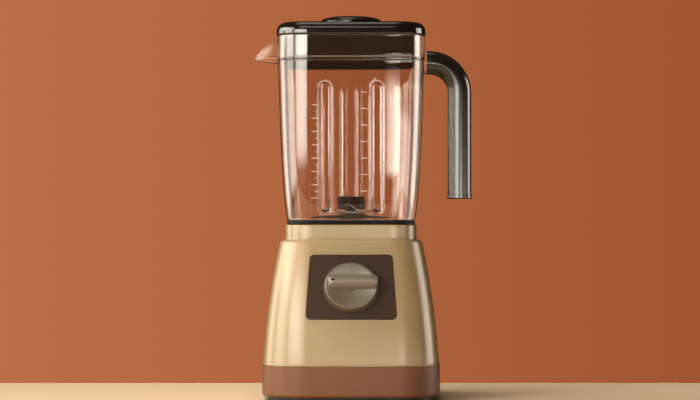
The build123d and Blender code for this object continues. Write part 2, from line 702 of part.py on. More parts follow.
def flute_prisms(grow):
    """Stadium prisms along Y: a wide pair through both walls, a narrow pair at the rear only."""
    height = flute_high_z - flute_low_z + 2 * grow
    middle = (flute_low_z + flute_high_z) / 2
    with BuildPart(mode=Mode.PRIVATE) as prisms:
        for x, width, start in ((flute_x, flute_width, -100), (rib_x, rib_width, 0)):
            with BuildSketch(Plane.XZ.offset(-100)):
                with Locations((-x, middle), (x, middle)):
                    SlotOverall(height, width + 2 * grow, rotation=90)
            extrude(amount=100 - start)
    return prisms.part


with BuildPart() as flute_cutter:
    add(flute_prisms(0))
    add(jar_solid(flute_depth), mode=Mode.SUBTRACT)

with BuildPart() as flute_swells:
    add(flute_prisms(flute_wall))
    add(jar_solid(jar_wall - 0.5), mode=Mode.INTERSECT)
    add(jar_solid(jar_wall + flute_swell), mode=Mode.SUBTRACT)

with BuildPart() as jar_body:
    add(jar_solid(0))
    block(rim_step_z - 1.5, rim_top_z, rim_half, rim_corner)
    fillet(jar_body.edges().group_by(Axis.Z)[-1], 0.8)
    with BuildSketch(Plane.YZ.offset(boss_root_x)):
        with Locations((0, handle_z)):
            Circle(grip_radius)
    extrude(amount=handle_start_x - boss_root_x)
    add(beak.part)
    add(jar_solid(jar_wall), mode=Mode.SUBTRACT)
    add(flute_swells.part)
    add(flute_cutter.part, mode=Mode.SUBTRACT)
    block(rim_step_z + 1.5, rim_top_z + 1, rim_half - 3, rim_corner - 3, mode=Mode.SUBTRACT)
    block(rim_step_z - 1, rim_step_z + 2, jar_half(rim_step_z, jar_wall), jar_corner(rim_step_z, jar_wall),
          mode=Mode.SUBTRACT)
    # Channel in the beak, and the window through the wall behind it
    with BuildPart(mode=Mode.PRIVATE) as channel:
        extrude(Plane.XY.offset(spout_floor_z) * spout_plan(spout_wall), amount=40)
        with Locations((-rim_half - 0.01, 0, 340)):
            Box(30, 60, 60, align=(Align.MIN, Align.CENTER, Align.MIN), mode=Mode.SUBTRACT)
    add(channel.part, mode=Mode.SUBTRACT)
    with Locations((-rim_half + 1, 0, spout_floor_z)):
        Box(8, 2 * window_half, window_high, align=UP, mode=Mode.SUBTRACT)
    # Stub that enters the handle, with a cross hole for its pin
    with BuildSketch(Plane.YZ.offset(handle_start_x - 1)):
        with Locations((0, handle_z)):
            Circle(stub_radius)
    extrude(amount=stub_end_x - handle_start_x + 1)
    disc(handle_z - 9, handle_z + 9, handle_pin_radius + slip, handle_pin_x, 0, mode=Mode.SUBTRACT)
jar_body.part.label = "jar_body"
export_step(jar_body.part, "parts/jar_body.step")

base_low_z = deck_top_z + pad_thick
flange_z = neck_top_z + 0.2
seal_low_z = 184.8
dome_top_z, dome_radius = 191.8, 343.0
floor_half, floor_corner = 62.7, 21.5
floor_boss, floor_boss_high, socket_radius = 14.0, 1.6, 24.0
bush_low_z, bush_hole, bush_high_z = 183.0, 7.0, dome_top_z + 0.4
with BuildPart() as jar_base:
    block(base_low_z, flange_z, seat_half - 0.7, seat_corner - 0.7)
    with BuildPart(mode=Mode.PRIVATE) as flange:
        block(flange_z, seal_low_z, 66.6, 25.6)
        fillet(flange.edges().group_by(Axis.Z)[-1], 1.4)
        fillet(flange.edges().group_by(Axis.Z)[0], 0.8)
    add(flange.part)
    with BuildPart(mode=Mode.PRIVATE) as dome:
        with Locations((0, 0, dome_top_z - dome_radius)):
            Sphere(dome_radius)
        with BuildSketch(Plane.XY.offset(seal_low_z - 1)):
            RectangleRounded(2 * floor_half, 2 * floor_half, floor_corner)
        extrude(amount=12, mode=Mode.INTERSECT)
    add(dome.part)
    disc(seal_low_z, dome_top_z + floor_boss_high, floor_boss)
    block(base_low_z, flange_z + 0.6, seat_half - 4, seat_corner - 4, mode=Mode.SUBTRACT)
    disc(base_low_z, flange_z + 2, socket_radius + 4)
    disc(base_low_z, flange_z + 2, 5.4, pin_x, pin_y)
    disc(base_low_z, bush_low_z, socket_radius, mode=Mode.SUBTRACT)
    disc(bush_low_z, dome_top_z + floor_boss_high, bush_hole + slip, mode=Mode.SUBTRACT)
jar_base.part.label = "jar_base"
export_step(jar_base.part, "parts/jar_base.step")

with BuildPart() as jar_seal:
    block(seal_low_z, jar_foot_z, 66.2, 25.2)
    block(seal_low_z, jar_foot_z, floor_half + 0.2, floor_corner + 0.2, mode=Mode.SUBTRACT)
jar_seal.part.label = "jar_seal"
export_step(jar_seal.part, "parts/jar_seal.step")

with BuildPart() as shaft_bush:
    disc(bush_low_z, bush_high_z, bush_hole)
    disc(bush_low_z, bush_high_z, shaft_radius + run_clearance, mode=Mode.SUBTRACT)
shaft_bush.part.label = "shaft_bush"
export_step(shaft_bush.part, "parts/shaft_bush.step")

with BuildPart() as shaft_seal:
    disc(bush_high_z, bush_high_z + 1.4, bush_hole - 0.1)
    disc(bush_high_z, bush_high_z + 1.4, shaft_radius + 0.3, mode=Mode.SUBTRACT)
shaft_seal.part.label = "shaft_seal"
export_step(shaft_seal.part, "parts/shaft_seal.step")

with BuildPart() as jar_handle:
    handle_leg_x = handle_bend_x + bend_radius
    with BuildLine(Plane.XZ) as grip_line:
        FilletPolyline(
            (handle_start_x, handle_z), (handle_leg_x, handle_z), (handle_leg_x, handle_end_z),
            radius=bend_radius,
        )
    with BuildSketch(Plane.YZ.offset(handle_start_x)):
        with Locations((0, handle_z)):
            Circle(grip_radius)
    sweep(path=grip_line.line)
    disc(handle_end_z, handle_z - bend_radius - 10, grip_radius - handle_wall, handle_leg_x, 0,
         mode=Mode.SUBTRACT)
    with BuildSketch(Plane.YZ.offset(handle_start_x)):
        with Locations((0, handle_z)):
            Circle(stub_radius + slip)
    extrude(amount=stub_end_x - handle_start_x + 0.3, mode=Mode.SUBTRACT)
    disc(handle_z - 20, handle_z + 9, handle_pin_radius + slip, handle_pin_x, 0, mode=Mode.SUBTRACT)
jar_handle.part.label = "jar_handle"
export_step(jar_handle.part, "parts/jar_handle.step")

with BuildPart() as handle_pin:
    disc(handle_z - 11.6, handle_z + 8.6, handle_pin_radius, handle_pin_x, 0)
handle_pin.part.label = "handle_pin"
export_step(handle_pin.part, "parts/handle_pin.step")

with BuildPart() as handle_end_cap:
    disc(handle_end_z - handle_cap, handle_end_z, grip_radius + 0.6, handle_leg_x, 0)
    fillet(handle_end_cap.edges().group_by(Axis.Z)[0], 1.2)
    fillet(handle_end_cap.edges().group_by(Axis.Z)[-1], 0.4)
    disc(handle_end_z - 1, handle_end_z + 10, grip_radius - handle_wall - slip, handle_leg_x, 0)
handle_end_cap.part.label = "handle_end_cap"
export_step(handle_end_cap.part, "parts/handle_end_cap.step")


# ---- Blades -------------------------------------------------------------------------
blade_low_z = 194.0
blade_flat = 15.0
blade_thick = 1.6
blade_shaft_top_z = 206.0
lower_reach, lower_width, lower_lift = 28.0, 15.0, 3.6
upper_reach, upper_width, upper_lift = 26.0, 12.0, 6.0
driven_low_z, driven_disc_z, driven_high_z = 175.0, 179.5, 182.6
with BuildPart() as blade_shaft:
    disc(driven_low_z, blade_shaft_top_z, shaft_radius)
    chamfer(blade_shaft.edges(), 0.4)
blade_shaft.part.label = "blade_shaft"
export_step(blade_shaft.part, "parts/blade_shaft.step")

with BuildPart() as driven_coupling:
    disc(driven_disc_z, driven_high_z, coupling_radius)
    disc(driven_low_z, driven_high_z, hub_radius - 1)
    for turn in range(dog_count):
        sector_block(dog_in, dog_out, 120 * turn + 60 - dog_span / 2, dog_span,
                     drive_disc_z + 0.6, driven_high_z)
    disc(drive_disc_z, driven_high_z + 1, shaft_radius + slip, mode=Mode.SUBTRACT)
driven_coupling.part.label = "driven_coupling"
export_step(driven_coupling.part, "parts/driven_coupling.step")


def blade_outline(reach, width, lift, plane, z_mid):
    """One bent strip seen edge on: flat at the hub, wings rising by lift at the tips."""
    with BuildSketch(plane) as strip:
        with BuildLine():
            left_top = (-reach, z_mid + lift + blade_thick)
            left_low = (-reach, z_mid + lift)
            right_low = (reach, z_mid + lift)
            right_top = (reach, z_mid + lift + blade_thick)
            Polyline(left_low, (-blade_flat, z_mid), (blade_flat, z_mid), right_low, right_top,
                     (blade_flat, z_mid + blade_thick), (-blade_flat, z_mid + blade_thick),
                     left_top, left_low)
        make_face()
    extrude(strip.sketch, amount=width / 2, both=True)


def blade_tips(reach, width, turn):
    """Plan of a two-winged blade: pointed tips with a swept cutting edge."""
    with BuildSketch() as plan:
        with BuildLine():
            Polyline((reach, -width * 0.45), (blade_flat, -width / 2), (-blade_flat, -width / 2),
                     (-reach, width * 0.1), (-reach, width * 0.45), (-blade_flat, width / 2),
                     (blade_flat, width / 2), (reach, -width * 0.1), (reach, -width * 0.45))
        make_face()
    return Rot(0, 0, turn) * plan.sketch


with BuildPart() as lower_blade:
    blade_outline(lower_reach, lower_width + 1, lower_lift, Plane.XZ, blade_low_z)
    extrude(Plane.XY.offset(190) * blade_tips(lower_reach, lower_width, 0), amount=20,
            mode=Mode.INTERSECT)
    disc(190, 210, shaft_radius + slip, mode=Mode.SUBTRACT)
lower_blade.part.label = "lower_blade"
export_step(lower_blade.part, "parts/lower_blade.step")

with BuildPart() as upper_blade:
    blade_outline(upper_reach, upper_width + 4, upper_lift, Plane.YZ, blade_low_z + blade_thick + slip)
    extrude(Plane.XY.offset(190) * blade_tips(upper_reach, upper_width, 90), amount=30,
            mode=Mode.INTERSECT)
    disc(190, 215, shaft_radius + slip, mode=Mode.SUBTRACT)
upper_blade.part.label = "upper_blade"
export_step(upper_blade.part, "parts/upper_blade.step")

nut_low_z = blade_low_z + 2 * blade_thick + 0.1
nut_top_z, nut_radius = 211.0, 14.5
with BuildPart() as blade_nut:
    disc(nut_low_z, nut_top_z, nut_radius)
    chamfer(blade_nut.edges().group_by(Axis.Z)[-1], 1.4)
    disc(nut_low_z, blade_shaft_top_z + 0.3, shaft_radius + slip, mode=Mode.SUBTRACT)
blade_nut.part.label = "blade_nut"
export_step(blade_nut.part, "parts/blade_nut.step")


# ---- Lid and filler cap -------------------------------------------------------------
flange_low_z = rim_top_z + 0.2
skirt_half, skirt_corner = rim_half - 3 - loose - 0.15, rim_corner - 3 - loose
plug_half = jar_half(rim_step_z, jar_wall) - 0.8
plug_low_z = 349.0
gasket_low_z, gasket_high_z = 353.4, 354.7
skirt_wall = 2.8
filler_bore, filler_collar_z, lid_roof = 28.3, 362.0, 3.5
with BuildPart() as lid:
    block(flange_low_z, lid_top_z, lid_half, lid_corner)
    fillet(lid.edges().group_by(Axis.Z)[-1], 9.0)
    fillet(lid.edges().group_by(Axis.Z)[0], 0.8)
    block(gasket_high_z, flange_low_z, skirt_half, skirt_corner)
    block(plug_low_z, gasket_high_z, plug_half, skirt_corner - 1.4)
    fillet(lid.edges().group_by(Axis.Z)[0], 1.0)
    block(plug_low_z, lid_top_z - lid_roof, plug_half - skirt_wall, skirt_corner - 1.4 - skirt_wall,
          mode=Mode.SUBTRACT)
    disc(filler_collar_z, lid_top_z, filler_bore + 3)
    disc(plug_low_z, lid_top_z + 1, filler_bore, mode=Mode.SUBTRACT)
lid.part.label = "lid"
export_step(lid.part, "parts/lid.step")

with BuildPart() as lid_gasket:
    block(gasket_low_z, gasket_high_z, skirt_half + 0.1, skirt_corner + 0.1)
    block(gasket_low_z, gasket_high_z, plug_half + 0.1, skirt_corner - 1.3, mode=Mode.SUBTRACT)
lid_gasket.part.label = "lid_gasket"
export_step(lid_gasket.part, "parts/lid_gasket.step")

cap_radius, cap_low_z = 32.6, 366.0
with BuildPart() as filler_cap:
    with BuildSketch(Plane.XZ):
        with BuildLine():
            outside = Polyline((filler_bore - 3, cap_low_z), (filler_bore - loose, cap_low_z),
                               (filler_bore - loose, lid_top_z + 0.2), (cap_radius - 0.6, lid_top_z + 0.2),
                               (cap_radius, lid_top_z + 0.8), (cap_radius, lid_top_z + 3.4))
            crown = Spline(outside @ 1, (27.0, 398.6), (16.0, cap_top_z),
                           tangents=((-0.15, 1), (-1, 0)))
            Line(crown @ 1, (0, cap_top_z))
            Line((0, cap_top_z), (0, cap_top_z - 5))
            Line((0, cap_top_z - 5), (filler_bore - 6, cap_top_z - 5))
            Line((filler_bore - 6, cap_top_z - 5), (filler_bore - 3, cap_top_z - 8))
            Line((filler_bore - 3, cap_top_z - 8), outside @ 0)
        make_face()
    revolve(axis=Axis.Z)
filler_cap.part.label = "filler_cap"
export_step(filler_cap.part, "parts/filler_cap.step")

print("done")
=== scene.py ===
"""Countertop blender: finishes, the clear jar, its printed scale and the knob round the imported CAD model.

Metres, +Z up, z = 0 is the worktop. The knob faces -Y, the spout points to -X, the handle to +X.
"""
import json
import math

import bmesh
import bpy
import numpy as np
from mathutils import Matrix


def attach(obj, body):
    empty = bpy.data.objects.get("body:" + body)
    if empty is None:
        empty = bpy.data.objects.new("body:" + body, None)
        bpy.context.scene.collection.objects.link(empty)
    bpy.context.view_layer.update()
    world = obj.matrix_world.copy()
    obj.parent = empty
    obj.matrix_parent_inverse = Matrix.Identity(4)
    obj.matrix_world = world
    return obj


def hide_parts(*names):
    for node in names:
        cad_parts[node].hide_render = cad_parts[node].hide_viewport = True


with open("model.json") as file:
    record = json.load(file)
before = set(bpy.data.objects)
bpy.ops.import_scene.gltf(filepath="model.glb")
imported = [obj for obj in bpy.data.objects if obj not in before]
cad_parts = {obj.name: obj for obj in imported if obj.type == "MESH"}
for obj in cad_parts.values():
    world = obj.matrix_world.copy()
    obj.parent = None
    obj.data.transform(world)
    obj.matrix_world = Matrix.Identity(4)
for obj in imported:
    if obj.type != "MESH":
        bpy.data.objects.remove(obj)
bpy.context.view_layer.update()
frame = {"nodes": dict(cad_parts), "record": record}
MM = 0.001


# ---- Materials ----------------------------------------------------------------------
def colour(hex_value):
    """Linear RGBA of an sRGB hex value."""
    srgb = np.array([int(hex_value[i:i + 2], 16) / 255 for i in (1, 3, 5)])
    linear = np.where(srgb <= 0.04045, srgb / 12.92, ((srgb + 0.055) / 1.055) ** 2.4)
    return (*linear.tolist(), 1.0)


def add(tree, kind, inputs=None, **settings):
    """Adds one node: settings are its properties, inputs its values or the sockets that feed it."""
    made = tree.nodes.new(kind)
    for name, value in settings.items():
        setattr(made, name, value)
    for key, value in (inputs or {}).items():
        if isinstance(value, bpy.types.NodeSocket):
            tree.links.new(value, made.inputs[key])
        else:
            made.inputs[key].default_value = value
    return made


def new_material(name):
    """An empty material: itself, its tree, its output node and its Object coordinates."""
    material = bpy.data.materials.new(name)
    material.use_nodes = True
    tree = material.node_tree
    tree.nodes.clear()
    out = add(tree, "ShaderNodeOutputMaterial")
    place = add(tree, "ShaderNodeTexCoord").outputs["Object"]
    return material, tree, out, place


cloud_mm = 60     # patches where the pigment flowed a little darker
smear_mm = 18     # patches that fingers have polished or dulled


def moulded(name, base, dark, rough, grain_mm, grain_height_mm, shine=0.5):
    """A moulded plastic, rubber or paint: cloudy colour between two tones, the tool's grain as bump,
    and a roughness that handling has made 14 per cent smoother to 16 per cent rougher in patches."""
    material, tree, out, place = new_material(name)
    cloud = add(tree, "ShaderNodeTexNoise", {"Vector": place, "Scale": 1 / (cloud_mm * MM), "Detail": 4.0})
    tone = add(tree, "ShaderNodeMix", {0: cloud.outputs["Fac"], 6: colour(base), 7: colour(dark)},
               data_type="RGBA")
    smear = add(tree, "ShaderNodeTexNoise", {"Vector": place, "Scale": 1 / (smear_mm * MM), "Detail": 6.0,
                                             "Roughness": 0.65})
    gloss = add(tree, "ShaderNodeMapRange", {0: smear.outputs["Fac"], 1: 0.3, 2: 0.7,
                                             3: rough * 0.86, 4: rough * 1.16})
    grain = add(tree, "ShaderNodeTexNoise", {"Vector": place, "Scale": 1 / (grain_mm * MM), "Detail": 2.0})
    bump = add(tree, "ShaderNodeBump", {"Height": grain.outputs["Fac"], "Strength": 1.0,
                                        "Distance": grain_height_mm * MM})
    shell = add(tree, "ShaderNodeBsdfPrincipled", {"Base Color": tone.outputs[2],
                                                   "Roughness": gloss.outputs[0],
                                                   "Normal": bump.outputs[0],
                                                   "Specular IOR Level": shine})
    tree.links.new(shell.outputs[0], out.inputs["Surface"])
    return material


def metal(name, base, dark, rough, streak_mm, streak_height_mm, stretch):
    """A bare metal or a stack of it: streaks one streak_mm wide, stretched along X, Y and Z by the
    three shares of stretch, in colour, gloss and bump."""
    material, tree, out, place = new_material(name)
    drawn = add(tree, "ShaderNodeMapping", {"Vector": place,
                                            "Scale": tuple(1 / share for share in stretch)})
    streak = add(tree, "ShaderNodeTexNoise", {"Vector": drawn.outputs[0], "Scale": 1 / (streak_mm * MM),
                                              "Detail": 3.0, "Roughness": 0.7})
    tone = add(tree, "ShaderNodeMix", {0: streak.outputs["Fac"], 6: colour(base), 7: colour(dark)},
               data_type="RGBA")
    gloss = add(tree, "ShaderNodeMapRange", {0: streak.outputs["Fac"], 1: 0.3, 2: 0.7,
                                             3: rough * 0.8, 4: rough * 1.25})
    bump = add(tree, "ShaderNodeBump", {"Height": streak.outputs["Fac"], "Strength": 1.0,
                                        "Distance": streak_height_mm * MM})
    shell = add(tree, "ShaderNodeBsdfPrincipled", {"Base Color": tone.outputs[2],
                                                   "Roughness": gloss.outputs[0],
                                                   "Normal": bump.outputs[0], "Metallic": 1.0})
    tree.links.new(shell.outputs[0], out.inputs["Surface"])
    return material


frost_start_x, frost_full_x = -0.077, -0.08    # where the beak leaves the jar's wall
frost_share = 0.12


def clear_copolyester(name):
    """Injection-moulded clear copolyester: bends light like plastic, with faint flow waves 40 mm long
    in its surface and patches that washing has dulled. The beak is moulded with a fine frost, half of it
    let through and half scattered back. Lamps reach what is inside."""
    material, tree, out, place = new_material(name)
    wave = add(tree, "ShaderNodeTexNoise", {"Vector": place, "Scale": 1 / (40 * MM), "Detail": 1.0})
    bump = add(tree, "ShaderNodeBump", {"Height": wave.outputs["Fac"], "Strength": 1.0,
                                        "Distance": 0.02 * MM})
    washed = add(tree, "ShaderNodeTexNoise", {"Vector": place, "Scale": 1 / (25 * MM), "Detail": 5.0})
    gloss = add(tree, "ShaderNodeMapRange", {0: washed.outputs["Fac"], 1: 0.4, 2: 0.8, 3: 0.0, 4: 0.03})
    wall = add(tree, "ShaderNodeBsdfPrincipled", {"Base Color": colour("#f1ebe6"),
                                                  "Roughness": gloss.outputs[0],
                                                  "Normal": bump.outputs[0], "IOR": 1.5,
                                                  "Transmission Weight": 1.0})
    split = add(tree, "ShaderNodeSeparateXYZ", {0: place})
    haze = add(tree, "ShaderNodeMapRange", {0: split.outputs["X"], 1: frost_start_x, 2: frost_full_x,
                                            3: 0.0, 4: frost_share})
    let_through = add(tree, "ShaderNodeBsdfTranslucent", {"Color": colour("#f0c09c")})
    sent_back = add(tree, "ShaderNodeBsdfDiffuse", {"Color": colour("#f0c09c")})
    frost = add(tree, "ShaderNodeMixShader", {0: 0.5, 1: let_through.outputs[0], 2: sent_back.outputs[0]})
    seen = add(tree, "ShaderNodeMixShader", {0: haze.outputs[0], 1: wall.outputs[0], 2: frost.outputs[0]})
    lit_through = add(tree, "ShaderNodeBsdfTransparent", {"Color": colour("#efe6dd")})
    ray = add(tree, "ShaderNodeLightPath")
    both = add(tree, "ShaderNodeMixShader", {0: ray.outputs["Is Shadow Ray"], 1: seen.outputs[0],
                                             2: lit_through.outputs[0]})
    tree.links.new(both.outputs[0], out.inputs["Surface"])
    return material


finishes = {
    # ABS from a polished mould: warm cream with long clean highlights and a slight orange-peel swell
    "cream_enamel": moulded("cream_gloss_abs", "#bda882", "#b7a17a", 0.22, 1.2, 0.002, shine=0.6),
    # ABS from a spark-textured mould: an even milk-chocolate brown with a soft wide sheen
    "brown_plastic": moulded("brown_satin_abs", "#835536", "#7a4d30", 0.38, 0.5, 0.01, shine=0.3),
    # ABS with a finer spark texture: nearly matt, so the knob stands out from it
    "panel_plastic": moulded("panel_satin_abs", "#3c2818", "#352112", 0.42, 0.4, 0.006, shine=0.2),
    # Satin lacquer on moulded plastic: a greyish gold that is lit softly along every edge
    "champagne_metal": moulded("champagne_satin_paint", "#756a5c", "#6e6354", 0.32, 0.3, 0.001, shine=0.8),
    # ABS from a mirror-polished mould: near black, with sharp bright reflections of the windows
    "black_plastic": moulded("black_gloss_abs", "#1b1813", "#15120e", 0.1, 0.8, 0.001, shine=0.85),
    # The same moulding in graphite: a little lighter, with long streaks of light down the tube
    "handle_plastic": moulded("graphite_gloss_abs", "#2a261d", "#221e17", 0.17, 0.8, 0.001, shine=0.8),
    # Clear copolyester: bright edges, crisp reflections and a faint warm body
    "clear_plastic": clear_copolyester("clear_copolyester"),
    # Moulded silicone: soft and waxy, with a broad dull sheen
    "silicone": moulded("peach_silicone", "#b99b86", "#af907a", 0.42, 0.6, 0.01, shine=0.4),
    # Moulded nitrile rubber: dull black with a fine tooth
    "rubber": moulded("black_nitrile_rubber", "#1a1817", "#141211", 0.55, 0.7, 0.03, shine=0.4),
    # Stainless steel brushed upwards: streaks of light that run round the part, drawn 0.25 mm wide to show
    "steel": metal("brushed_stainless_steel", "#b9b6b0", "#9c9994", 0.24, 0.25, 0.003, (1, 1, 25)),
    # Silicon steel sheets 0.5 mm thick, stacked: grey with fine level lines
    "lamination": metal("laminated_silicon_steel", "#6b6a6a", "#4f4e4e", 0.42, 0.5, 0.05, (60, 60, 1)),
    # Enamelled copper wire 0.6 mm thick, wound level: reddish and ribbed, with a varnished sheen
    "copper": metal("enamelled_copper_wire", "#b8683a", "#8c4a25", 0.32, 0.6, 0.12, (60, 60, 1)),
    # Sintered bronze: dull yellow-brown with an open, speckled grain
    "bronze": metal("sintered_bronze", "#a67c4a", "#7f5c33", 0.45, 0.3, 0.02, (1, 1, 1)),
    # Pressed carbon: flat charcoal black with hardly any sheen
    "carbon": moulded("pressed_carbon", "#1d1d1e", "#262627", 0.6, 0.3, 0.02),
    # Die-cast aluminium: pale grey, softly uneven and blurred
    "cast_alloy": metal("cast_aluminium_alloy", "#a9a9ab", "#8e8e91", 0.5, 0.8, 0.03, (1, 1, 1)),
    # Glass-epoxy board under solder mask: even dark green with a low gloss
    "board": moulded("glass_epoxy_laminate", "#1f5a33", "#174a2a", 0.35, 1.0, 0.02),
    # Uncoloured moulded nylon: milky off-white and slightly satin
    "pale_plastic": moulded("natural_nylon", "#cfc9ba", "#c2bbaa", 0.4, 0.5, 0.01),
}
# Nylon scoured by food: a duller black for the jar's floor and hub, with no clear reflections
scoured_nylon = moulded("black_satin_nylon", "#0e0c0a", "#0b0a08", 0.45, 0.6, 0.004, shine=0.12)
# Blade steel left as ground: darker and duller than the brushed steel, so only its edges flash
ground_steel = metal("ground_blade_steel", "#5e5b57", "#4c4946", 0.36, 0.25, 0.003, (1, 1, 25))
# Pad-printing ink: flat warm white that stands a hair proud of the clear wall
finishes["scale_print"] = moulded("white_pad_print", "#ecd2bd", "#e2c6b0", 0.5, 0.3, 0.01)

own_finish = {"jar_base": scoured_nylon, "blade_nut": scoured_nylon,
              "lower_blade": ground_steel, "upper_blade": ground_steel}
slot_of = {entry["node"]: entry["material_slot"] for entry in frame["record"]["subparts"]}
for name, thing in frame["nodes"].items():
    thing.data.materials.clear()
    thing.data.materials.append(own_finish.get(name, finishes[slot_of[name]]))


# ---- Surfaces -----------------------------------------------------------------------
def smooth_step(t):
    """0 below 0, 1 above 1, and 6t^5 - 15t^4 + 10t^3 between."""
    t = np.clip(t, 0, 1)
    return t * t * t * (t * (6 * t - 15) + 10)


def grid_faces(rows, columns, wrap_rows=False):
    """Quads over a grid of points numbered row by row, closed round its columns and, if asked, its rows:
    each quad joins a point, the next in its row, and the two below them."""
    i = np.arange(rows if wrap_rows else rows - 1)[:, None]
    j = np.arange(columns)
    below, right = (i + 1) % rows, (j + 1) % columns
    quads = [i * columns + j, i * columns + right, below * columns + right, below * columns + j]
    return np.stack(quads, -1).reshape(-1, 4).tolist()


def tube(rings):
    """Closed skin through equal rings of points, with a flat face at each end."""
    rows, columns = rings.shape[:2]
    first_end = list(range(columns))[::-1]
    last_end = list(range((rows - 1) * columns, rows * columns))
    return rings.reshape(-1, 3), grid_faces(rows, columns) + [first_end, last_end]


def rounded_rectangles(half_wide, half_high, corner, points):
    """Rings of (across, up), one for each row of sizes: on each of four corners a quarter circle of
    evenly turned points, about a centre one corner radius in from both sides."""
    sizes = np.broadcast_arrays(half_wide, half_high, corner)
    half_wide, half_high, corner = (size[:, None] for size in sizes)
    quarter = np.repeat(np.arange(4), points)
    turn = np.radians(np.tile(np.linspace(0, 90, points), 4)) + np.radians(90 * (quarter - 1))
    right = np.array([1, 1, -1, -1])[quarter]
    up = np.array([-1, 1, 1, -1])[quarter]
    return np.stack([right * (half_wide - corner) + corner * np.cos(turn),
                     up * (half_high - corner) + corner * np.sin(turn)], -1)


def closed_shape(name, skin):
    """An object from the points and faces of a closed surface, with every face turned outwards."""
    mesh = bpy.data.meshes.new(name)
    mesh.from_pydata(skin[0].tolist(), [], skin[1])
    work = bmesh.new()
    work.from_mesh(mesh)
    bmesh.ops.recalc_face_normals(work, faces=work.faces)
    work.to_mesh(mesh)
    work.free()
    shape = bpy.data.objects.new(name, mesh)
    bpy.context.scene.collection.objects.link(shape)
    return shape


def work_with(shape, tools):
    """Joins (UNION) or cuts away (DIFFERENCE) other closed shapes in turn, and removes them."""
    for tool, operation in tools:
        step = shape.modifiers.new(tool.name, "BOOLEAN")
        step.object = tool
        step.operation = operation
        step.solver = "EXACT"
    bpy.context.view_layer.update()
    worked = bpy.data.meshes.new_from_object(shape.evaluated_get(bpy.context.evaluated_depsgraph_get()))
    shape.modifiers.clear()
    shape.data = worked
    for tool, _ in tools:
        bpy.data.objects.remove(tool)


def finish(shape, material, sharp_degrees):
    """One material and smooth shading, with edges kept sharp past an angle."""
    mesh = shape.data
    mesh.polygons.foreach_set("use_smooth", [True] * len(mesh.polygons))
    mesh.set_sharp_from_angle(angle=math.radians(sharp_degrees))
    mesh.materials.clear()
    mesh.materials.append(material)


# ---- Jar ----------------------------------------------------------------------------
jar_foot_z, rim_step_z, rim_top_z = 0.186, 0.351, 0.3775
jar_foot_half, jar_spread = 0.0668, 0.009
jar_foot_corner, jar_corner_spread = 0.0255, 0.0055
jar_wall, rim_wall = 0.0032, 0.003
rim_half, rim_corner = 0.0763, 0.0315
lip_round = 0.0014
flute_low, flute_high = 0.193, 0.329
flute_centre, flute_width = 0.0266, 0.0135
rear_rib_centre, rear_rib_width = 0.0082, 0.0056
fluted_half = 0.0365     # the finely divided middle of the front and rear walls


def jar_height(z):
    """Share of the way from the jar's foot to the step under its rim."""
    return (z - jar_foot_z) / (rim_step_z - jar_foot_z)


def jar_half(z):
    """Half width of the jar: 55 per cent of the spread grows evenly with the height s, and the rest
    as 1 - (1 - s)^4, faster near the foot."""
    s = jar_height(z)
    return jar_foot_half + jar_spread * (0.55 * s + 0.45 * (1 - (1 - s) ** 4))


def jar_corner(z):
    """Corner radius of the jar, growing evenly with height."""
    return jar_foot_corner + jar_corner_spread * jar_height(z)


def section(z, half, corner, outer):
    """Rows of (z, half width, corner radius, 1 outside or 0 inside)."""
    return np.column_stack(np.broadcast_arrays(np.atleast_1d(z), half, corner, outer))


def jar_profile():
    """Closed section of the wall: up the outside with stops that crowd at the flutes' ends, over the
    rounded lip, down the inside and round the foot."""
    runs = [(jar_foot_z + 0.0012, 0.191, 5), (0.1918, 0.202, 13), (0.2065, 0.3195, 25),
            (0.3205, 0.3305, 13), (0.333, 0.3496, 6)]
    heights = np.concatenate([np.linspace(*run) for run in runs])
    outside = section(heights, jar_half(heights), jar_corner(heights), 1)
    step = [(0.3504, 0.07585, 0.031, 1), (0.3510, 0.0761, 0.0313, 1), (0.3516, rim_half, rim_corner, 1)]
    rim = section(np.linspace(0.3525, rim_top_z - lip_round, 8), rim_half, rim_corner, 1)
    turn = np.linspace(0.15, math.pi - 0.15, 9)
    reach = rim_wall / 2 * (np.cos(turn) - 1)
    lip = section(rim_top_z - lip_round * (1 - np.sin(turn)), rim_half + reach, rim_corner + reach,
                  turn < math.pi / 2)
    inner_rim = section([0.376, 0.370, 0.364, 0.358, 0.3533], rim_half - rim_wall, rim_corner - rim_wall, 0)
    ledge = [(0.3527, 0.0731, 0.0283, 0), (0.3524, 0.0727, 0.0279, 0)]
    down = heights[::-1]
    inside = section(down, jar_half(down) - jar_wall, jar_corner(down) - jar_wall, 0)
    in_from_foot = np.array([0.0028, 0.0022, 0.001, 0.0003])
    foot = section(jar_foot_z + np.array([0.0003, 0, 0, 0.0003]), jar_foot_half - in_from_foot,
                   jar_foot_corner - in_from_foot, [0, 0, 1, 1])
    return np.vstack([outside, step, rim, lip, inner_rim, ledge, inside, foot])


def flute_share(x, z, centre, width, grow, edge):
    """How deep a point lies in an upright stadium flute: 0 outside, 1 on its floor, and a smooth step
    over the edge between."""
    low, high = flute_low + width / 2, flute_high - width / 2
    away = np.hypot(np.abs(x) - centre, z - np.clip(z, low, high))
    return smooth_step((width / 2 + grow - away) / edge)


